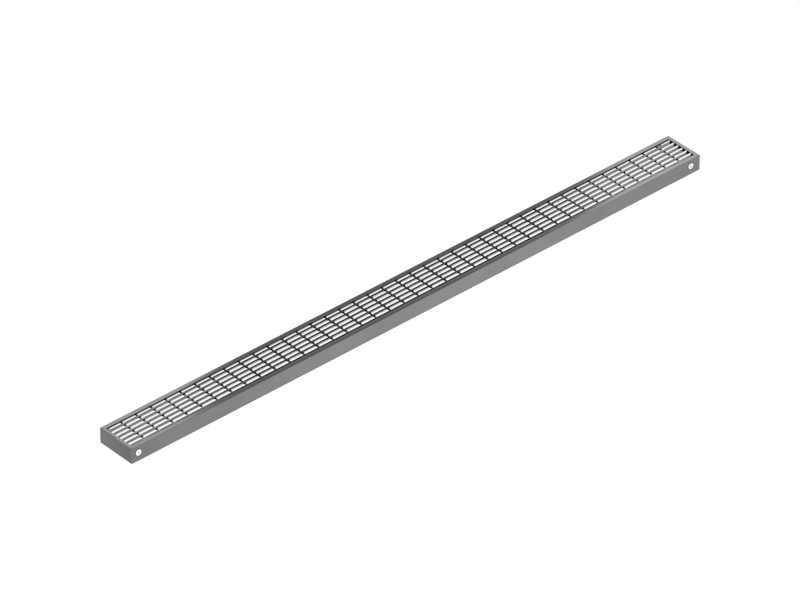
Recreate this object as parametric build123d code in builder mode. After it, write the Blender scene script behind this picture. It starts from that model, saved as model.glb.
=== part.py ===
from build123d import *
import os

# Channel drain grate: a flanged rectangular frame with a shallow bar mesh welded in under its flange.
# Millimetres. Origin at the bottom centre, +X along the grate, +Z up.

# Frame sizes
length = 1000.0  # overall length of the frame
width = 62.7  # overall width of the frame
height = 23.2  # overall height of the frame
wall = 3.0  # thickness of the four upright walls
flange_thickness = 2.5  # thickness of the flange that runs round the top
side_flange = 6.2  # width of the top flange on the long sides, from the outer face
end_flange = 5.0  # width of the top flange at the two ends, from the outer face
outer_edge_radius = 0.5  # rounding of the outer top edge

# Mesh sizes
long_bar_width = 3.0
long_bar_depth = 2.3
long_bar_pitch = 8.31  # centre to centre, across the grate
cross_bar_width = 2.6
cross_bar_depth = 0.7
cross_bar_pitch = 24.8  # centre to centre, along the grate
cross_bar_offset = 2.5  # the row of cross bars sits this far off centre, towards the right end
notch_clearance = 0.05  # room on each side of a cross bar in its notches

# Side plugs: a round head outside, a split stem through the wall and a snap collar inside
left_plug_inset = 11.2  # centre of the left plugs from the left end
right_plug_inset = 17.1  # centre of the right plugs from the right end
plug_height = 13.4  # centre of every plug above the bottom edge
plug_head_radius = 4.5
plug_head_proud = 1.0  # how far the head stands out of the wall
plug_head_bevel = 0.35  # bevel round the head's rim
dimple_radius = 1.7  # shallow recess in the middle of the head
dimple_depth = 0.4
stem_radius = 3.0
stem_clearance = 0.15  # radial room between the stem and its hole
collar_radius = 3.6
collar_length = 0.8
collar_gap = 0.1  # between the wall's inner face and the collar
tip_radius = 2.3
tip_length = 1.6
stem_slot = 1.0  # width of the slot that lets the stem spring

# Cuts run this far past the faces that they start from
cut_margin = 1.0

# Places that follow from the sizes above
mesh_top = height - flange_thickness
long_bar_underside = mesh_top - long_bar_depth
cross_bar_top = long_bar_underside + cross_bar_depth
inner_length = length - 2 * wall
inner_width = width - 2 * wall
opening_length = length - 2 * end_flange
opening_width = width - 2 * side_flange
long_bar_count = max(1, round(opening_width / long_bar_pitch))
cross_bar_count = max(1, round(opening_length / cross_bar_pitch) - 1)
long_bar_places = [(i - (long_bar_count - 1) / 2) * long_bar_pitch for i in range(long_bar_count)]
cross_bar_places = [
    (i - (cross_bar_count - 1) / 2) * cross_bar_pitch + cross_bar_offset for i in range(cross_bar_count)
]
plug_places = {"left": left_plug_inset - length / 2, "right": length / 2 - right_plug_inset}
mitre_reach = min(side_flange, end_flange)

os.makedirs("parts", exist_ok=True)


def save(part, name):
    part.label = name
    export_step(part, f"parts/{name}.step")


def section_points(reach, flange):
    """Outline of a frame member: an upright wall whose outer face is at reach, with a flange turned inwards."""
    inward = -1 if reach > 0 else 1
    return [
        (reach, 0),
        (reach, height),
        (reach + inward * flange, height),
        (reach + inward * flange, mesh_top),
        (reach + inward * wall, mesh_top),
        (reach + inward * wall, 0),
    ]


def corner_points(end, side, insets):
    """Points given by their distances inwards from the end face and from the side face of one corner."""
    return [(end * (length / 2 - along), side * (width / 2 - across)) for along, across in insets]


# Side rails, each mitred at both ends and bored for its two plugs
for side, name in ((-1, "front_side_rail"), (1, "back_side_rail")):
    with BuildPart() as side_rail:
        with BuildSketch(Plane.YZ.offset(-length / 2)):
            with BuildLine():
                Polyline(section_points(side * width / 2, side_flange), close=True)
            make_face()
        extrude(amount=length)
        top_edges = side_rail.edges().filter_by(Axis.X).group_by(Axis.Z)[-1]
        fillet(top_edges.sort_by(Axis.Y)[-1 if side > 0 else 0], outer_edge_radius)
        with BuildSketch(Plane.XY):
            for end in (-1, 1):
                with BuildLine():
                    Polyline(
                        corner_points(
                            end,
                            side,
                            [
                                (-cut_margin, -cut_margin),
                                (mitre_reach, mitre_reach),
                                (mitre_reach, side_flange + cut_margin),
                                (-cut_margin, side_flange + cut_margin),
                            ],
                        ),
                        close=True,
                    )
                make_face()
        extrude(amount=height, mode=Mode.SUBTRACT)
        with BuildSketch(Plane.XZ.offset(-side * width / 2)):
            with Locations(*[(x, plug_height) for x in plug_places.values()]):
                Circle(stem_radius + stem_clearance)
        extrude(amount=side * wall, mode=Mode.SUBTRACT)
    save(side_rail.part, name)

# End plates, mitred to the side rails
for end, name in ((-1, "left_end_plate"), (1, "right_end_plate")):
    with BuildPart() as end_plate:
        with BuildSketch(Plane.XZ.offset(-width / 2)):
            with BuildLine():
                Polyline(section_points(end * length / 2, end_flange), close=True)
            make_face()
        extrude(amount=width)
        top_edges = end_plate.edges().filter_by(Axis.Y).group_by(Axis.Z)[-1]
        fillet(top_edges.sort_by(Axis.X)[-1 if end > 0 else 0], outer_edge_radius)
        with BuildSketch(Plane.XY):
            for side in (-1, 1):
                with BuildLine():
                    Polyline(
                        corner_points(
                            end,
                            side,
                            [
                                (-cut_margin, -cut_margin),
                                (mitre_reach, mitre_reach),
                                (end_flange + cut_margin, mitre_reach),
                                (end_flange + cut_margin, -cut_margin),
                            ],
                        ),
                        close=True,
                    )
                make_face()
        extrude(amount=height, mode=Mode.SUBTRACT)
    save(end_plate.part, name)

# Long bars, from end plate to end plate, notched from below for the cross bars
for number, y in enumerate(long_bar_places, 1):
    with BuildPart() as long_bar:
        with BuildSketch(Plane.XY.offset(long_bar_underside)):
            with Locations((0, y)):
                Rectangle(inner_length, long_bar_width)
        extrude(amount=long_bar_depth)
        with BuildSketch(Plane.XY.offset(cross_bar_top)):
            with Locations(*[(x, y) for x in cross_bar_places]):
                Rectangle(cross_bar_width + 2 * notch_clearance, long_bar_width + 2 * cut_margin)
        extrude(amount=-(cross_bar_depth + cut_margin), mode=Mode.SUBTRACT)
    save(long_bar.part, f"long_bar_{number}")

# Cross bars, from side rail to side rail, let into the long bars with their undersides flush
for number, x in enumerate(cross_bar_places, 1):
    with BuildPart() as cross_bar:
        with BuildSketch(Plane.XY.offset(cross_bar_top)):
            with Locations((x, 0)):
                Rectangle(cross_bar_width, inner_width)
        extrude(amount=-cross_bar_depth)
    save(cross_bar.part, f"cross_bar_{number:02d}")

# Side plugs, turned about an axis square to the wall. Heights in the profile run outwards from the wall.
collar_start = -(wall + collar_gap)
collar_end = collar_start - collar_length
tip_end = collar_end - tip_length
for side, side_name in ((-1, "front"), (1, "back")):
    for end_name, x in plug_places.items():
        seat = (x, side * width / 2, plug_height)
        with BuildPart() as plug:
            with BuildSketch(Plane(origin=seat, x_dir=(1, 0, 0), z_dir=(0, 0, side))):
                with BuildLine():
                    Polyline(
                        (0, tip_end),
                        (tip_radius, tip_end),
                        (collar_radius, collar_end),
                        (collar_radius, collar_start),
                        (stem_radius, collar_start),
                        (stem_radius, 0),
                        (plug_head_radius, 0),
                        (plug_head_radius, plug_head_proud),
                        (dimple_radius, plug_head_proud),
                        (dimple_radius, plug_head_proud - dimple_depth),
                        (0, plug_head_proud - dimple_depth),
                        close=True,
                    )
                make_face()
            revolve(axis=Axis(seat, (0, 1, 0)))
            rim = plug.edges().filter_by(GeomType.CIRCLE).sort_by(Axis.Y, reverse=side > 0)
            rim = [edge for edge in rim if edge.radius > collar_radius]
            chamfer(rim[0], plug_head_bevel)
            with BuildSketch(Plane.XZ.offset(-side * (width / 2 + tip_end))):
                with Locations((x, plug_height)):
                    Rectangle(stem_slot, 2 * (collar_radius + cut_margin))
            extrude(amount=-side * (-tip_end - wall / 2), mode=Mode.SUBTRACT)
        save(plug.part, f"{side_name}_{end_name}_plug")
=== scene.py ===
import math
import bmesh
import bpy
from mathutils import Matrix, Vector


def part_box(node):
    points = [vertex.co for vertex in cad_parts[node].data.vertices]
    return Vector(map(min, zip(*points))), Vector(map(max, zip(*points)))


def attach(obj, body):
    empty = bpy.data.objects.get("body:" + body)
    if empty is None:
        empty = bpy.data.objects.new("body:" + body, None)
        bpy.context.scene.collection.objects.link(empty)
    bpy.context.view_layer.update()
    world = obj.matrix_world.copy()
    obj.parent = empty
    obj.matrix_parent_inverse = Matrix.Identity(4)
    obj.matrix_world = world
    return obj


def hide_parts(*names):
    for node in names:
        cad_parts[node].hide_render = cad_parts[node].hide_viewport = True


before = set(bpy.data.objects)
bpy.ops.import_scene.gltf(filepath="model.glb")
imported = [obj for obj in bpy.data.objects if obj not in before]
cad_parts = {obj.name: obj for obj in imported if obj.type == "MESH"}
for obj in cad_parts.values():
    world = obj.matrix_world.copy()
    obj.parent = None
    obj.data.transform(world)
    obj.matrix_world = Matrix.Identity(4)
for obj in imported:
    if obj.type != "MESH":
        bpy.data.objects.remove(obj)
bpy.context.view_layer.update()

# Sizes of the grate, in metres
MM = 0.001
HAIR = 0.05 * MM  # room for rounding, where a place is compared with a size
rail_low, rail_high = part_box("front_side_rail")
half_length = rail_high.x
half_width = -rail_low.y
grate_top = rail_high.z
side_flange = rail_high.y - rail_low.y
end_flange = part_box("left_end_plate")[1].x + half_length
wall = 3.0 * MM
top_bend = 0.4 * MM  # radius of the outer edge of the top
bar_rounding = 0.12 * MM
long_bar_names = [f"long_bar_{n}" for n in range(1, 7)]
cross_bar_names = [f"cross_bar_{n:02d}" for n in range(1, 40)]
long_bars = [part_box(name) for name in long_bar_names]
cross_bars = [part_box(name) for name in cross_bar_names]
mesh_top = long_bars[0][1].z
cross_top = cross_bars[0][1].z
long_bar_width = long_bars[0][1].y - long_bars[0][0].y
long_bar_depth = mesh_top - long_bars[0][0].z
cross_bar_width = cross_bars[0][1].x - cross_bars[0][0].x
cross_bar_depth = cross_top - cross_bars[0][0].z
first_long_bar = (long_bars[0][0].y + long_bars[0][1].y) / 2
first_cross_bar = (cross_bars[0][0].x + cross_bars[0][1].x) / 2
long_bar_pitch = long_bars[1][0].y - long_bars[0][0].y
cross_bar_pitch = cross_bars[1][0].x - cross_bars[0][0].x
plug_low, plug_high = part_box("front_left_plug")
plug_height = (plug_low.z + plug_high.z) / 2
left_plug = (plug_low.x + plug_high.x) / 2
right_plug = sum(corner.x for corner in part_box("front_right_plug")) / 2


# Camera and studio

def place_camera():
    """A long lens at the photograph's viewing angle, with its focal length and shifts in pixels."""
    azimuth = math.radians(41.7276)
    elevation = math.radians(35.4627)
    distance = 9.3169
    image_width = 800
    focal_length = 7079.5
    shift_right, shift_up = -8.07, 2.15
    ahead = Vector((
        math.sin(azimuth) * math.cos(elevation),
        math.cos(azimuth) * math.cos(elevation),
        -math.sin(elevation),
    ))
    lens = bpy.data.cameras.new("photo_camera")
    lens.sensor_width = 36.0
    lens.lens = lens.sensor_width * focal_length / image_width
    lens.shift_x = shift_right / image_width
    lens.shift_y = shift_up / image_width
    lens.clip_end = 60.0
    camera = bpy.data.objects.new("photo_camera", lens)
    camera.location = -ahead * distance
    camera.rotation_euler = ahead.to_track_quat("-Z", "Y").to_euler()
    bpy.context.collection.objects.link(camera)
    bpy.context.scene.camera = camera


def light_panel(name, centre, aim, size, power, mirrored=True):
    panel = bpy.data.lights.new(name, "AREA")
    panel.shape = "RECTANGLE"
    panel.size, panel.size_y = size
    panel.energy = power
    lamp = bpy.data.objects.new(name, panel)
    lamp.location = centre
    lamp.rotation_euler = (Vector(aim) - Vector(centre)).to_track_quat("-Z", "Y").to_euler()
    lamp.visible_camera = False
    lamp.visible_glossy = mirrored
    bpy.context.collection.objects.link(lamp)


def soft_box(name, edge_x, turn, reach, size, power):
    """A panel that the grate's top mirrors from edge_x outwards, to the left (turn -1) or the right (turn 1).

    reach is its distance along the camera's line of sight, as the top mirrors it.
    """
    away = Vector((0.6656, 0.7463, 0.7124))
    across = Vector((0.7463, -0.6656, 0.0))
    centre = Vector((edge_x, 0.0, grate_top)) + across * (turn * size / 2) + away * reach
    light_panel(name, centre, centre - away, (size, size), power)


def glowing(name, strength):
    material = bpy.data.materials.new(name)
    material.use_nodes = True
    nodes = material.node_tree.nodes
    nodes.clear()
    output = nodes.new("ShaderNodeOutputMaterial")
    light = nodes.new("ShaderNodeEmission")
    light.inputs["Strength"].default_value = strength
    material.node_tree.links.new(light.outputs[0], output.inputs[0])
    return material


def lay_floor():
    half = 8.0
    drop = 0.2 * MM  # keeps the floor clear of the grate's feet
    shape = bpy.data.meshes.new("studio_floor")
    corners = [(-half, -half, -drop), (half, -half, -drop), (half, half, -drop), (-half, half, -drop)]
    shape.from_pydata(corners, [], [(0, 1, 2, 3)])
    floor = bpy.data.objects.new("studio_floor", shape)
    bpy.context.collection.objects.link(floor)
    floor.data.materials.append(glowing("pale_floor", 1.0))


def light_studio():
    sky = bpy.data.worlds.new("studio")
    bpy.context.scene.world = sky
    sky.use_nodes = True
    back = sky.node_tree.nodes["Background"]
    back.inputs["Color"].default_value = (1.0, 1.0, 1.0, 1.0)
    back.inputs["Strength"].default_value = 0.4
    bpy.context.scene.view_settings.view_transform = "Standard"
    # Two soft boxes behind the grate, with a dark gap between them, which its top mirrors towards the camera
    soft_box("left_box", edge_x=-0.39, turn=-1, reach=0.5, size=0.4, power=0.56)
    soft_box("right_box", edge_x=0.375, turn=1, reach=0.65, size=0.4, power=0.68)
    front = (-0.75, -1.5, 1.35)
    light_panel("front_box", front, aim=(0, 0, 0), size=(0.9, 0.9), power=27.0, mirrored=False)


# Finishes

satin = 0.2  # roughness of the drawn and rolled steel


class Finish:
    """A Principled material, with short ways to add what varies over the surface."""

    def __init__(self, name, metallic, roughness):
        self.material = bpy.data.materials.new(name)
        self.material.use_nodes = True
        self.nodes = self.material.node_tree.nodes
        self.links = self.material.node_tree.links
        self.shader = self.nodes["Principled BSDF"]
        self.shader.inputs["Metallic"].default_value = metallic
        self.shader.inputs["Roughness"].default_value = roughness
        self.place = self.nodes.new("ShaderNodeTexCoord").outputs["Object"]

    def give(self, socket, value):
        if isinstance(value, bpy.types.NodeSocket):
            self.links.new(value, socket)
        elif isinstance(value, tuple) and len(value) == 3 and socket.type == "RGBA":
            socket.default_value = (*value, 1.0)
        else:
            socket.default_value = value

    def set(self, name, value):
        self.give(self.shader.inputs[name], value)

    def math(self, operation, first, second=0.0, third=0.0):
        """One sum, with each operand a socket or a number."""
        node = self.nodes.new("ShaderNodeMath")
        node.operation = operation
        for socket, value in zip(node.inputs, (first, second, third)):
            self.give(socket, value)
        return node.outputs[0]

    def plus(self, first, second):
        return self.math("ADD", first, second)

    def minus(self, first, second):
        return self.math("SUBTRACT", first, second)

    def times(self, first, second):
        return self.math("MULTIPLY", first, second)

    def absolute(self, value):
        return self.math("ABSOLUTE", value)

    def above(self, value, edge):
        """One where the value is over the edge, and nought elsewhere."""
        return self.math("GREATER_THAN", value, edge)

    def below(self, value, edge):
        return self.math("LESS_THAN", value, edge)

    def axes(self):
        split = self.nodes.new("ShaderNodeSeparateXYZ")
        self.links.new(self.place, split.inputs[0])
        return split.outputs

    def cloud(self, scale, stretch=(1, 1, 1), detail=3.0):
        """Soft noise on the object's own coordinates."""
        place = self.nodes.new("ShaderNodeMapping")
        place.inputs["Scale"].default_value = stretch
        self.links.new(self.place, place.inputs["Vector"])
        cloud = self.nodes.new("ShaderNodeTexNoise")
        cloud.inputs["Scale"].default_value = scale
        cloud.inputs["Detail"].default_value = detail
        self.links.new(place.outputs["Vector"], cloud.inputs["Vector"])
        return cloud.outputs["Fac"]

    def ramp(self, value, low, high, to_low=0.0, to_high=1.0):
        """Goes from to_low to to_high while the value goes from low to high, and stays level outside."""
        remap = self.nodes.new("ShaderNodeMapRange")
        for name, number in (("From Min", low), ("From Max", high), ("To Min", to_low), ("To Max", to_high)):
            remap.inputs[name].default_value = number
        self.give(remap.inputs["Value"], value)
        return remap.outputs["Result"]

    def spread(self, cloud, to_low=0.0, to_high=1.0):
        """Noise stretched so that it reaches both ends of this range."""
        return self.ramp(cloud, 0.35, 0.65, to_low, to_high)

    def mix(self, amount, first, second):
        node = self.nodes.new("ShaderNodeMix")
        node.data_type = "RGBA"
        colour_a, colour_b, colour_result = 6, 7, 2  # the places of the colour sockets
        self.give(node.inputs["Factor"], amount)
        self.give(node.inputs[colour_a], first)
        self.give(node.inputs[colour_b], second)
        return node.outputs[colour_result]

    def dim(self, colour, amount):
        """Darkens a colour by this share."""
        return self.mix(amount, colour, (0.0, 0.0, 0.0))

    def length(self, first, second):
        """Length of a flat vector."""
        return self.math("SQRT", self.math("MULTIPLY_ADD", first, first, self.times(second, second)))

    def grow(self, height, strength, distance):
        """Adds a fine relief to the surface."""
        bump = self.nodes.new("ShaderNodeBump")
        bump.inputs["Strength"].default_value = strength
        bump.inputs["Distance"].default_value = distance
        self.links.new(height, bump.inputs["Height"])
        self.links.new(bump.outputs["Normal"], self.shader.inputs["Normal"])

    def mark(self, name):
        """An attribute that the mesh carries at its points."""
        node = self.nodes.new("ShaderNodeAttribute")
        node.attribute_name = name
        return node.outputs["Fac"]


def grained(steel, dark, light, roughness, grain_stretch):
    """Adds a fine drawn grain and slow patches of tone, and returns the colour."""
    patches = steel.cloud(16.0, detail=4.0)
    grain = steel.cloud(900.0, grain_stretch)
    pits = steel.cloud(2600.0, detail=2.0)
    tone = steel.math("MULTIPLY_ADD", patches, 0.6, steel.times(grain, 0.4))
    steel.set("Roughness", steel.spread(grain, roughness - 0.04, roughness + 0.05))
    steel.grow(steel.math("MULTIPLY_ADD", pits, 0.4, grain), 0.05, 0.04 * MM)
    return steel.mix(steel.ramp(tone, 0.38, 0.62), dark, light)


def grey(shade):
    return (shade, shade, shade)


def from_nearest(steel, place, first, pitch):
    """Distance to the nearest bar of an even row."""
    turns = steel.plus(steel.math("DIVIDE", steel.minus(place, first), pitch), 0.5)
    share = steel.minus(steel.math("FRACT", turns), 0.5)
    return steel.times(steel.absolute(share), pitch)


def ragged_edge(steel, spread):
    """A small shift that makes the edge of a mark uneven."""
    return steel.times(steel.minus(steel.cloud(1500.0), 0.5), spread)


def from_plug(finish, x, z):
    """Distance to the axis of the nearest plug."""
    rise = finish.minus(z, plug_height)
    return finish.math(
        "MINIMUM",
        finish.length(finish.minus(x, left_plug), rise),
        finish.length(finish.minus(x, right_plug), rise),
    )


def rail_finish(name, dark, light, grain_stretch, front_line, back_line):
    """Satin rolled steel with worn edges and mitre seams at the corners, carrying painted shade along the
    top's outer edge, round each plug and on the flange's inner edge, and a painted highlight on the front
    rail's inner edge.

    The two edge-shade arguments say how dark the painted shade along the top's outer edge is, on the front
    and on the back half.
    """
    steel = Finish(name, metallic=1.0, roughness=satin)
    colour = grained(steel, dark, light, satin, grain_stretch)
    x, y, z = steel.axes()
    from_end = steel.minus(half_length, steel.absolute(x))
    from_side = steel.minus(half_width, steel.absolute(y))
    outward = steel.math("POWER", steel.math("DIVIDE", x, half_length), 2.0)
    colour = steel.dim(colour, steel.times(outward, 0.16))
    middle = steel.ramp(steel.absolute(x), 0.32, 0.2)  # full in the middle of the grate, none at its ends
    wear = steel.times(steel.mark("wear"), steel.spread(steel.cloud(260.0), 0.3, 1.0))
    colour = steel.mix(wear, colour, tuple(1.3 * c for c in light))

    # A darker line along the foot, painted shade along the outer edge of the top, and a painted shadow round
    # each plug
    colour = steel.dim(colour, steel.ramp(z, 1.6 * MM, 0.9 * MM, 0.0, 0.4))
    on_top = steel.above(z, grate_top - 0.1 * MM)
    from_outside = steel.math("MINIMUM", from_end, from_side)
    outer_line = steel.ramp(y, -1.0 * MM, 1.0 * MM, front_line, back_line)
    outer_line = steel.math("MULTIPLY_ADD", middle, 0.15, outer_line)
    at_right_end = steel.above(x, half_length - end_flange)
    outer_line = steel.math("MAXIMUM", outer_line, steel.times(at_right_end, 0.4))
    edge_line = steel.times(on_top, steel.ramp(from_outside, 1.8 * MM, 1.1 * MM))
    colour = steel.dim(colour, steel.times(edge_line, outer_line))
    # Painted shadow round each plug head on the side face
    on_face = steel.below(from_side, 0.1 * MM)
    ring = steel.times(on_face, steel.ramp(from_plug(steel, x, z), 5.7 * MM, 5.0 * MM, 0.0, 0.85))
    colour = steel.dim(colour, ring)

    # A painted highlight along the inner edge of the front rail's top, strongest in the middle of the grate
    lip = steel.times(steel.above(z, grate_top - 0.3 * MM), steel.below(y, 0.0))
    lip = steel.times(lip, steel.ramp(from_side, side_flange - 1.5 * MM, side_flange - 0.9 * MM))
    colour = steel.mix(steel.times(steel.times(lip, middle), 0.8), colour, grey(0.45))

    # The mitre seams
    from_seam = steel.absolute(steel.minus(from_end, from_side))
    seam = steel.ramp(from_seam, 0.16 * MM, 0.06 * MM, 0.0, 0.6)
    colour = steel.dim(colour, steel.times(on_top, seam))

    # Painted shade on the flange's inner edge, heavier towards the ends, and painted black shade over each
    # cross bar
    beside_cross = from_nearest(steel, x, first_cross_bar, cross_bar_pitch)
    beside_cross = steel.plus(beside_cross, ragged_edge(steel, 0.8 * MM))
    in_opening = steel.above(from_end, end_flange - HAIR)
    on_rail_edge = steel.times(in_opening, steel.above(from_side, side_flange - HAIR))
    below_top = steel.ramp(z, grate_top - 0.2 * MM, grate_top - 0.6 * MM)
    dull_edge = steel.times(on_rail_edge, below_top)
    dullness = steel.math("MULTIPLY_ADD", middle, -0.35, 0.55)
    colour = steel.dim(colour, steel.times(dull_edge, dullness))
    mark = steel.times(on_rail_edge, steel.ramp(beside_cross, 1.9 * MM, 1.3 * MM))
    steel.set("Base Color", steel.mix(steel.times(mark, below_top), colour, grey(0.012)))
    return steel.material


def bar_finish(name, tread, sides, grain_stretch):
    """Drawn bar with painted light: a tread on top painted dark as shade and sides painted lighter, with
    painted black shade by each crossing and before the end plates.

    The painted shade on the tread is darkest in the middle of the grate, which lies a little left of the
    frame's own middle.
    """
    dark_start, dark_end = 0.25, 0.37  # the dark of the tops fades out between these distances
    steel = Finish(name, metallic=1.0, roughness=satin)
    steel.set("Specular IOR Level", 0.0)
    x, y, z = steel.axes()
    from_middle = steel.absolute(steel.plus(x, 12.0 * MM))

    side_colour = grained(steel, grey(0.92 * sides), grey(1.08 * sides), satin, grain_stretch)
    # Painted shade: the sides darker towards both ends
    side_colour = steel.dim(side_colour, steel.ramp(from_middle, 0.28, 0.48, 0.0, 0.4))

    tread_tone = steel.spread(steel.cloud(120.0, (0.3, 1, 1)))
    tread_colour = steel.mix(tread_tone, grey(0.9 * tread), grey(1.1 * tread))
    tread_colour = steel.dim(tread_colour, steel.ramp(from_middle, dark_start, dark_end, 0.9, 0.0))

    # The tread's painted shade is lighter over each crossing
    ragged = ragged_edge(steel, 0.8 * MM)
    crossing_shift = -0.4 * MM
    beside_cross = from_nearest(steel, x, first_cross_bar + crossing_shift, cross_bar_pitch)
    beside_cross = steel.plus(beside_cross, ragged)
    rubbed = steel.mix(tread_tone, grey(1.6 * tread), grey(1.9 * tread))
    rubbed_colour = steel.dim(rubbed, steel.ramp(from_middle, dark_start, dark_end, 0.45, 0.0))
    tread_colour = steel.mix(steel.ramp(beside_cross, 3.0 * MM, 2.0 * MM), tread_colour, rubbed_colour)

    # The tops of the cross bars, between the long bars, in the pale tone with painted shade darkest in the
    # middle
    on_long_top = steel.ramp(z, mesh_top - bar_rounding, mesh_top - HAIR)
    cross_low = steel.ramp(z, cross_top - bar_rounding, cross_top - HAIR)
    cross_high = steel.ramp(z, cross_top + bar_rounding, cross_top + HAIR)
    beside_long = from_nearest(steel, y, first_long_bar, long_bar_pitch)
    off_long = steel.above(beside_long, long_bar_width / 2 + 0.02 * MM)
    on_cross_top = steel.times(steel.times(cross_low, cross_high), off_long)
    cross_colour = steel.dim(rubbed, steel.ramp(from_middle, dark_start, dark_end, 0.93, 0.0))
    colour = steel.mix(on_long_top, side_colour, tread_colour)
    colour = steel.mix(on_cross_top, colour, cross_colour)

    # Painted black shade in the corners of each crossing, and on the last stretch before the end plates
    near_cross = steel.ramp(beside_cross, 2.8 * MM, 2.3 * MM)
    near_long = steel.ramp(steel.plus(beside_long, ragged), 3.9 * MM, 3.4 * MM)
    below_tread = steel.ramp(z, mesh_top - 0.1 * MM, mesh_top - 0.25 * MM)
    scale = steel.times(steel.times(near_cross, near_long), below_tread)
    scale_start = half_length - end_flange - 2.3 * MM
    along = steel.plus(steel.absolute(steel.plus(x, 0.7 * MM)), ragged)
    end_scale = steel.ramp(along, scale_start - 0.3 * MM, scale_start + 0.3 * MM)
    black = steel.math("MAXIMUM", scale, end_scale)
    steel.set("Base Color", steel.mix(black, colour, grey(0.008)))
    steel.set("Metallic", steel.minus(1.0, black))
    return steel.material


def weld_finish(name):
    """Near-black colour that stands in for painted shade at the weld beads, with a few paler spots."""
    steel = Finish(name, metallic=0.0, roughness=0.5)
    steel.set("Specular IOR Level", 0.1)
    pale = steel.ramp(steel.cloud(1800.0), 0.6, 0.72)
    steel.set("Base Color", steel.mix(pale, grey(0.008), grey(0.03)))
    steel.grow(steel.cloud(3200.0), 0.3, 0.1 * MM)
    return steel.material


def inner_steel(name):
    """The bright pickled inside of the frame, with a painted shadow band high on the side walls under the
    flange, and painted black shade over each long bar at the ends.
    """
    steel = Finish(name, metallic=1.0, roughness=0.12)
    _, y, z = steel.axes()
    patches = steel.cloud(40.0)
    colour = steel.mix(steel.spread(patches), grey(0.93), grey(0.97))
    on_rail = steel.above(steel.absolute(y), half_width - wall - HAIR)
    band_start, band_full = 16.8 * MM, 17.4 * MM
    band = steel.times(on_rail, steel.ramp(z, band_start, band_full, 0.0, 0.8))
    colour = steel.dim(colour, band)

    # Painted black shade on the flange's inner edge at both ends, over each long bar
    beside_long = from_nearest(steel, y, first_long_bar, long_bar_pitch)
    beside_long = steel.plus(beside_long, ragged_edge(steel, 1.2 * MM))
    mark = steel.times(steel.ramp(beside_long, 2.7 * MM, 2.1 * MM), steel.above(z, mesh_top))
    steel.set("Base Color", steel.mix(mark, colour, grey(0.015)))
    return steel.material


def moulded_plastic(name, colour):
    """White plastic with a fine mould texture, with painted shade in the dimple of each head."""
    plastic = Finish(name, metallic=0.0, roughness=0.45)
    x, y, z = plastic.axes()
    cloud = plastic.cloud(220.0)
    shade = plastic.mix(plastic.spread(cloud), tuple(0.97 * c for c in colour), colour)
    on_head = plastic.above(plastic.absolute(y), half_width + 0.3 * MM)
    in_dimple = plastic.ramp(from_plug(plastic, x, z), 2.1 * MM, 1.6 * MM, 0.0, 0.35)
    plastic.set("Base Color", plastic.dim(shade, plastic.times(on_head, in_dimple)))
    plastic.set("Roughness", plastic.spread(cloud, 0.4, 0.5))
    plastic.grow(plastic.cloud(1800.0), 0.04, 0.03 * MM)
    return plastic.material


def milky_plastic(name):
    """The thin clip behind the wall, which light soaks through."""
    plastic = Finish(name, metallic=0.0, roughness=0.5)
    cloud = plastic.cloud(300.0)
    plastic.set("Base Color", plastic.mix(plastic.spread(cloud), grey(0.95), grey(0.99)))
    plastic.set("Subsurface Weight", 1.0)
    plastic.set("Subsurface Radius", (1.0, 1.0, 1.0))
    plastic.set("Subsurface Scale", 4.0 * MM)
    plastic.grow(plastic.cloud(1800.0), 0.04, 0.03 * MM)
    return plastic.material


# Shapes

def new_piece(name, shape, materials, replaced):
    piece = bpy.data.objects.new(name, shape)
    bpy.context.collection.objects.link(piece)
    if not piece.data.materials:
        for material in materials:
            piece.data.materials.append(material)
    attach(piece, "root")
    if replaced:
        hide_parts(*replaced)


def arc(centre, radius, start, stop, steps):
    """Points on part of a circle, with angles in degrees."""
    turn = [math.radians(start + (stop - start) * i / steps) for i in range(steps + 1)]
    return [(centre[0] + radius * math.cos(a), centre[1] + radius * math.sin(a)) for a in turn]


def member_section(flange):
    """Outline of a frame member, from the outer foot over the top to the inner foot.

    Each point is (inset, height, wear, inside), and wear says how rubbed the steel is there.
    """
    foot = 0.15 * MM  # radius of both lower edges
    lip = 0.2 * MM  # radius of the flange's inner edge
    foot_wear, bend_wear, lip_wear, inner_wear = 0.5, 0.6, 0.7, 0.3
    foot_steps, bend_steps, lip_steps = 3, 8, 4
    points = [(foot, 0.0, 0.0, False)]
    points += [(x, z, foot_wear, False) for x, z in arc((foot, foot), foot, 270, 180, foot_steps)[1:]]
    points += [(0.0, 1.2 * MM, 0.0, False), (0.0, grate_top - top_bend - 0.6 * MM, 0.0, False)]
    bend = arc((top_bend, grate_top - top_bend), top_bend, 180, 90, bend_steps)
    points += [(x, z, bend_wear * math.sin(math.pi * i / bend_steps), False) for i, (x, z) in enumerate(bend)]
    points += [(flange - lip - 0.5 * MM, grate_top, 0.0, False)]
    edge = arc((flange - lip, grate_top - lip), lip, 90, 0, lip_steps)
    points += [(x, z, lip_wear, False) for x, z in edge]
    points += [(flange, grate_top - 1.0 * MM, 0.0, False), (flange, mesh_top + lip, 0.0, False)]
    points += [(flange - lip, mesh_top, inner_wear, False), (wall, mesh_top, 0.0, True)]
    points += [(wall, foot, 0.0, True)]
    inner_foot = arc((wall - foot, foot), foot, 0, -90, foot_steps)
    points += [(x, z, inner_wear, False) for x, z in inner_foot[1:]]
    return points


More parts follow.
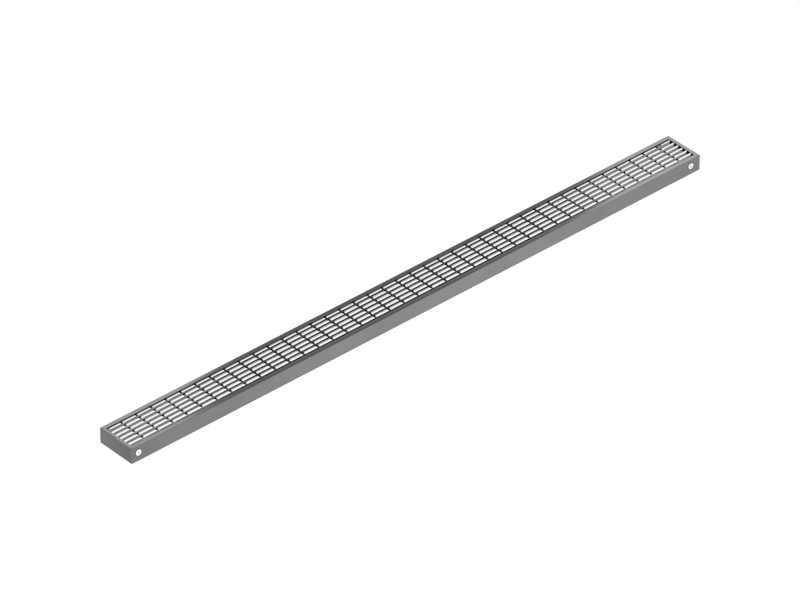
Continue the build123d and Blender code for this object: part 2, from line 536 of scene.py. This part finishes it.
def build_frame(steel, inside, end_faces):
    """The four members as one welded ring, with softly rounded upright corners."""
    corner = 0.3 * MM  # radius of the upright corners
    corner_wear = 0.5
    turns = 5
    rail_slot, inside_slot, end_slot = 0, 1, 2
    mesh = bmesh.new()
    wear_mark = mesh.verts.layers.float.new("wear")
    side_points = member_section(side_flange)
    end_points = member_section(end_flange)
    rings = []
    for (side_inset, height, wear, inside_face), (end_inset, _, _, _) in zip(side_points, end_points):
        ring = []
        for sx, sy in ((1, 1), (-1, 1), (-1, -1), (1, -1)):
            stations = []
            for step in range(turns + 1):
                angle = math.pi / 2 * step / turns
                if side_inset < corner:
                    x = half_length - corner + (corner - end_inset) * math.cos(angle)
                    y = half_width - corner + (corner - side_inset) * math.sin(angle)
                    edge_wear = corner_wear if 0 < step < turns else 0.0
                else:
                    x = half_length - end_inset
                    y = half_width - side_inset
                    edge_wear = 0.0
                vertex = mesh.verts.new((sx * x, sy * y, height))
                vertex[wear_mark] = max(wear, edge_wear)
                stations.append(vertex)
            if sx * sy < 0:
                stations.reverse()
            ring += stations
        rings.append((ring, inside_face))
    for (lower, inside_below), (upper, inside_above) in zip(rings, rings[1:] + rings[:1]):
        for i in range(len(lower)):
            j = (i + 1) % len(lower)
            face = mesh.faces.new((lower[i], lower[j], upper[j], upper[i]))
            face.material_index = inside_slot if inside_below and inside_above else rail_slot
            face.smooth = True
            face.normal_update()
            faces_along = abs(face.normal.x) > 0.9
            inset = half_length - abs(face.calc_center_median().x)
            if faces_along and inset < 2 * HAIR:
                face.material_index = end_slot
            if faces_along and abs(inset - end_flange) < HAIR:
                face.material_index = inside_slot
    bmesh.ops.remove_doubles(mesh, verts=mesh.verts, dist=0.002 * MM)
    bmesh.ops.recalc_face_normals(mesh, faces=mesh.faces)
    shape = bpy.data.meshes.new("welded_frame")
    mesh.to_mesh(shape)
    mesh.free()
    shape.set_sharp_from_angle(angle=math.radians(38))
    members = ("front_side_rail", "back_side_rail", "left_end_plate", "right_end_plate")
    new_piece("welded_frame", shape, [steel, inside, end_faces], members)


def node_input(tree, name, kind, value):
    socket = tree.interface.new_socket(name, in_out="INPUT", socket_type=kind)
    if value is not None:
        socket.default_value = value


def bar_row_tree():
    """A row of equal bars: a rounded section swept along a straight line, and repeated at a pitch."""
    tree = bpy.data.node_groups.new("bar_row", "GeometryNodeTree")
    tree.interface.new_socket("Bars", in_out="OUTPUT", socket_type="NodeSocketGeometry")
    node_input(tree, "Bar Start", "NodeSocketVector", (0, 0, 0))
    node_input(tree, "Bar End", "NodeSocketVector", (1, 0, 0))
    node_input(tree, "Next Bar", "NodeSocketVector", (0, 1, 0))
    node_input(tree, "Count", "NodeSocketInt", 2)
    node_input(tree, "Width", "NodeSocketFloat", 0.002)
    node_input(tree, "Depth", "NodeSocketFloat", 0.002)
    node_input(tree, "Rounding", "NodeSocketFloat", 0.0003)
    node_input(tree, "Steel", "NodeSocketMaterial", None)
    nodes, links = tree.nodes, tree.links
    given = nodes.new("NodeGroupInput")
    line = nodes.new("GeometryNodeCurvePrimitiveLine")
    links.new(given.outputs["Bar Start"], line.inputs["Start"])
    links.new(given.outputs["Bar End"], line.inputs["End"])
    section = nodes.new("GeometryNodeCurvePrimitiveQuadrilateral")
    links.new(given.outputs["Width"], section.inputs["Width"])
    links.new(given.outputs["Depth"], section.inputs["Height"])
    soften = nodes.new("GeometryNodeFilletCurve")
    soften.mode = "POLY"
    soften.inputs["Count"].default_value = 3
    links.new(section.outputs["Curve"], soften.inputs["Curve"])
    links.new(given.outputs["Rounding"], soften.inputs["Radius"])
    sweep = nodes.new("GeometryNodeCurveToMesh")
    sweep.inputs["Fill Caps"].default_value = True
    links.new(line.outputs["Curve"], sweep.inputs["Curve"])
    links.new(soften.outputs["Curve"], sweep.inputs["Profile Curve"])
    places = nodes.new("GeometryNodeMeshLine")
    links.new(given.outputs["Count"], places.inputs["Count"])
    links.new(given.outputs["Next Bar"], places.inputs["Offset"])
    repeat = nodes.new("GeometryNodeInstanceOnPoints")
    links.new(places.outputs["Mesh"], repeat.inputs["Points"])
    links.new(sweep.outputs["Mesh"], repeat.inputs["Instance"])
    real = nodes.new("GeometryNodeRealizeInstances")
    links.new(repeat.outputs["Instances"], real.inputs["Geometry"])
    paint = nodes.new("GeometryNodeSetMaterial")
    links.new(real.outputs["Geometry"], paint.inputs["Geometry"])
    links.new(given.outputs["Steel"], paint.inputs["Material"])
    result = nodes.new("NodeGroupOutput")
    links.new(paint.outputs["Geometry"], result.inputs["Bars"])
    return tree


def grow_from_tree(name, tree, values):
    """Runs a Geometry Nodes tree with these named inputs, and returns the plain mesh that it makes."""
    holder = bpy.data.objects.new(name, bpy.data.meshes.new(name + "_seed"))
    bpy.context.collection.objects.link(holder)
    modifier = holder.modifiers.new("tree", "NODES")
    modifier.node_group = tree
    for item in tree.interface.items_tree:
        if item.item_type == "SOCKET" and item.in_out == "INPUT" and item.name in values:
            modifier[item.identifier] = values[item.name]
    bpy.context.view_layer.update()
    evaluated = holder.evaluated_get(bpy.context.evaluated_depsgraph_get())
    shape = bpy.data.meshes.new_from_object(evaluated)
    shape.name = name
    holder.modifiers.remove(modifier)
    bpy.data.objects.remove(holder)
    return shape


def build_mesh_bars(steel):
    tree = bar_row_tree()
    inner_end = half_length - wall
    inner_side = half_width - wall
    long_middle = mesh_top - long_bar_depth / 2
    cross_middle = cross_top - cross_bar_depth / 2
    shape = grow_from_tree("long_bars", tree, {
        "Bar Start": (-inner_end, first_long_bar, long_middle),
        "Bar End": (inner_end, first_long_bar, long_middle),
        "Next Bar": (0.0, long_bar_pitch, 0.0),
        "Count": len(long_bars),
        "Width": long_bar_width,
        "Depth": long_bar_depth,
        "Rounding": bar_rounding,
        "Steel": steel,
    })
    new_piece("long_bars", shape, [steel], long_bar_names)
    shape = grow_from_tree("cross_bars", tree, {
        "Bar Start": (first_cross_bar, -inner_side, cross_middle),
        "Bar End": (first_cross_bar, inner_side, cross_middle),
        "Next Bar": (cross_bar_pitch, 0.0, 0.0),
        "Count": len(cross_bars),
        "Width": cross_bar_width,
        "Depth": cross_bar_depth,
        "Rounding": bar_rounding,
        "Steel": steel,
    })
    new_piece("cross_bars", shape, [steel], cross_bar_names)


def bead_grid_tree():
    """A grid of small rounded weld beads, no two quite the same size."""
    tree = bpy.data.node_groups.new("bead_grid", "GeometryNodeTree")
    tree.interface.new_socket("Beads", in_out="OUTPUT", socket_type="NodeSocketGeometry")
    node_input(tree, "First Bead", "NodeSocketVector", (0, 0, 0))
    node_input(tree, "Next Along", "NodeSocketVector", (1, 0, 0))
    node_input(tree, "Count Along", "NodeSocketInt", 2)
    node_input(tree, "Next Across", "NodeSocketVector", (0, 1, 0))
    node_input(tree, "Count Across", "NodeSocketInt", 2)
    node_input(tree, "Smallest", "NodeSocketVector", (0.001, 0.001, 0.001))
    node_input(tree, "Largest", "NodeSocketVector", (0.001, 0.001, 0.001))
    node_input(tree, "Seed", "NodeSocketInt", 1)
    # The Scale material is the near-black one that stands in for painted shade
    node_input(tree, "Scale", "NodeSocketMaterial", None)
    nodes, links = tree.nodes, tree.links
    given = nodes.new("NodeGroupInput")
    row = nodes.new("GeometryNodeMeshLine")
    links.new(given.outputs["Count Along"], row.inputs["Count"])
    links.new(given.outputs["First Bead"], row.inputs["Start Location"])
    links.new(given.outputs["Next Along"], row.inputs["Offset"])
    rows = nodes.new("GeometryNodeMeshLine")
    links.new(given.outputs["Count Across"], rows.inputs["Count"])
    links.new(given.outputs["Next Across"], rows.inputs["Offset"])
    grid = nodes.new("GeometryNodeInstanceOnPoints")
    links.new(rows.outputs["Mesh"], grid.inputs["Points"])
    links.new(row.outputs["Mesh"], grid.inputs["Instance"])
    spots = nodes.new("GeometryNodeRealizeInstances")
    links.new(grid.outputs["Instances"], spots.inputs["Geometry"])
    bead = nodes.new("GeometryNodeMeshUVSphere")
    bead.inputs["Segments"].default_value = 8
    bead.inputs["Rings"].default_value = 5
    bead.inputs["Radius"].default_value = 1.0
    chance = nodes.new("FunctionNodeRandomValue")
    chance.data_type = "FLOAT_VECTOR"
    links.new(given.outputs["Smallest"], chance.inputs["Min"])
    links.new(given.outputs["Largest"], chance.inputs["Max"])
    links.new(given.outputs["Seed"], chance.inputs["Seed"])
    scatter = nodes.new("GeometryNodeInstanceOnPoints")
    links.new(spots.outputs["Geometry"], scatter.inputs["Points"])
    links.new(bead.outputs["Mesh"], scatter.inputs["Instance"])
    links.new(chance.outputs["Value"], scatter.inputs["Scale"])
    real = nodes.new("GeometryNodeRealizeInstances")
    links.new(scatter.outputs["Instances"], real.inputs["Geometry"])
    smooth = nodes.new("GeometryNodeSetShadeSmooth")
    links.new(real.outputs["Geometry"], smooth.inputs["Geometry"])
    paint = nodes.new("GeometryNodeSetMaterial")
    links.new(smooth.outputs["Geometry"], paint.inputs["Geometry"])
    links.new(given.outputs["Scale"], paint.inputs["Material"])
    result = nodes.new("NodeGroupOutput")
    links.new(paint.outputs["Geometry"], result.inputs["Beads"])
    return tree


def build_welds(scale):
    """Weld beads on both sides of each crossing, at the cross bars' ends and at the long bars' ends, in a
    near-black colour that is painted shade.
    """
    tree = bead_grid_tree()
    beside = long_bar_width / 2 + 0.3 * MM
    inner_side = half_width - wall - 0.1 * MM
    inner_end = half_length - end_flange - 0.05 * MM
    low = cross_top + 0.1 * MM
    along_cross = ((cross_bar_pitch, 0.0, 0.0), len(cross_bars))
    along_ends = ((2 * inner_end, 0.0, 0.0), 2)
    across_long = ((0.0, long_bar_pitch, 0.0), len(long_bars))
    across_sides = ((0.0, 2 * inner_side, 0.0), 2)
    # The smallest and the largest half sizes of each kind of bead, in millimetres
    at_crossing = ((1.45, 1.35, 1.1), (1.7, 1.65, 1.35))
    at_cross_end = ((1.1, 0.8, 0.5), (1.4, 1.1, 0.8))
    at_long_end = ((0.5, 1.1, 0.4), (0.8, 1.4, 0.6))
    grids = [
        ((first_cross_bar, first_long_bar - beside, low), along_cross, across_long, at_crossing),
        ((first_cross_bar, first_long_bar + beside, low), along_cross, across_long, at_crossing),
        ((first_cross_bar, -inner_side, low), along_cross, across_sides, at_cross_end),
        ((-inner_end, first_long_bar, mesh_top), along_ends, across_long, at_long_end),
    ]
    mesh = bmesh.new()
    for seed, (first, row, rows, sizes) in enumerate(grids, 1):
        (along, count_along), (across, count_across), (smallest, largest) = row, rows, sizes
        shape = grow_from_tree(f"weld_grid_{seed}", tree, {
            "First Bead": first,
            "Next Along": along,
            "Count Along": count_along,
            "Next Across": across,
            "Count Across": count_across,
            "Smallest": tuple(v * MM for v in smallest),
            "Largest": tuple(v * MM for v in largest),
            "Seed": seed,
            "Scale": scale,
        })
        mesh.from_mesh(shape)
        bpy.data.meshes.remove(shape)
    shape = bpy.data.meshes.new("weld_beads")
    mesh.to_mesh(shape)
    mesh.free()
    new_piece("weld_beads", shape, [scale], [])


def plug_profile():
    """Half section of a plug from dimple to tip, as (radius, height out of the wall) in millimetres."""
    dimple = [(0.0, 0.62), (0.8, 0.6), (1.3, 0.62), (1.55, 0.7), (1.75, 0.84), (1.95, 0.94)]
    head = [(2.3, 0.98), (3.2, 1.0), *arc((4.05, 0.55), 0.45, 90, 0, 6), (4.5, 0.14), (4.4, 0.0)]
    stem = [(3.0, 0.0), (3.0, -3.1)]
    collar = [(3.45, -3.1), (3.6, -3.25), (3.6, -3.75), (3.45, -3.95)]
    tip = [(2.45, -5.3), (2.25, -5.5), (1.2, -5.5), (0.0, -5.5)]
    return dimple + head + stem + collar + tip


def build_plug(name, x, side, plastic, clip):
    """A round moulded head with a dimple, a stem through the wall, a snap collar and a split tip."""
    turns = 48
    plastic_slot, clip_slot = 0, 1
    angles = [2 * math.pi * i / turns for i in range(turns)]
    mesh = bmesh.new()
    rings = []
    for radius, height in plug_profile():
        y = side * (half_width + height * MM)
        if radius == 0.0:
            rings.append([mesh.verts.new((x, y, plug_height))])
            continue
        circle = [(radius * MM * math.cos(a), radius * MM * math.sin(a)) for a in angles]
        rings.append([mesh.verts.new((x + along, y, plug_height + up)) for along, up in circle])
    for inner, outer in zip(rings, rings[1:]):
        for i in range(turns):
            j = (i + 1) % turns
            corners = [ring[k % len(ring)] for ring, k in ((inner, i), (inner, j), (outer, j), (outer, i))]
            mesh.faces.new(list(dict.fromkeys(corners)))
    bmesh.ops.recalc_face_normals(mesh, faces=mesh.faces)
    for face in mesh.faces:
        face.smooth = True
    shape = bpy.data.meshes.new(name + "_whole")
    mesh.to_mesh(shape)
    mesh.free()

    # The slot that splits the stem, cut with a block that reaches past the tip and the collar
    slot_width = 1.0 * MM
    slot_height = 10.0 * MM
    slot_start = half_width - 6.5 * MM
    slot_end = half_width - 1.5 * MM
    slot_shape = bpy.data.meshes.new("slot_cutter")
    cutter_mesh = bmesh.new()
    bmesh.ops.create_cube(cutter_mesh, size=1.0)
    for vertex in cutter_mesh.verts:
        vertex.co = (
            x + vertex.co.x * slot_width,
            side * (slot_start + (vertex.co.y + 0.5) * (slot_end - slot_start)),
            plug_height + vertex.co.z * slot_height,
        )
    bmesh.ops.recalc_face_normals(cutter_mesh, faces=cutter_mesh.faces)
    cutter_mesh.to_mesh(slot_shape)
    cutter_mesh.free()
    cutter = bpy.data.objects.new("slot_cutter", slot_shape)
    whole = bpy.data.objects.new(name + "_whole", shape)
    bpy.context.collection.objects.link(cutter)
    bpy.context.collection.objects.link(whole)
    cut = whole.modifiers.new("slot", "BOOLEAN")
    cut.operation = "DIFFERENCE"
    cut.solver = "EXACT"
    cut.object = cutter
    bpy.context.view_layer.update()
    split = bpy.data.meshes.new_from_object(whole.evaluated_get(bpy.context.evaluated_depsgraph_get()))
    bpy.data.objects.remove(whole)
    bpy.data.objects.remove(cutter)
    split.name = name
    split.set_sharp_from_angle(angle=math.radians(40))
    split.materials.append(plastic)
    split.materials.append(clip)
    for face in split.polygons:
        behind_wall = abs(face.center.y) < half_width - wall - HAIR
        face.material_index = clip_slot if behind_wall else plastic_slot
    new_piece(name + "_piece", split, [], [name])


place_camera()
lay_floor()
light_studio()

grain_along = (0.05, 1.0, 1.0)
grain_across = (1.0, 0.05, 1.0)
rail_steel = rail_finish("rail_steel", grey(0.235), grey(0.265), grain_along, front_line=0.06, back_line=0.35)
# The end faces get a darker copy of the rail steel: painted shade
end_steel = rail_finish("end_steel", grey(0.17), grey(0.19), grain_across, front_line=0.3, back_line=0.35)
bar_steel = bar_finish("bar_steel", tread=0.135, sides=0.43, grain_stretch=grain_along)
bright_inside = inner_steel("bright_inside")
weld_scale = weld_finish("weld_scale")
plug_plastic = moulded_plastic("plug_plastic", (0.93, 0.93, 0.925))
clip_plastic = milky_plastic("clip_plastic")

build_frame(rail_steel, bright_inside, end_steel)
build_mesh_bars(bar_steel)
build_welds(weld_scale)
for side, side_name in ((-1, "front"), (1, "back")):
    build_plug(f"{side_name}_left_plug", left_plug, side, plug_plastic, clip_plastic)
    build_plug(f"{side_name}_right_plug", right_plug, side, plug_plastic, clip_plastic)
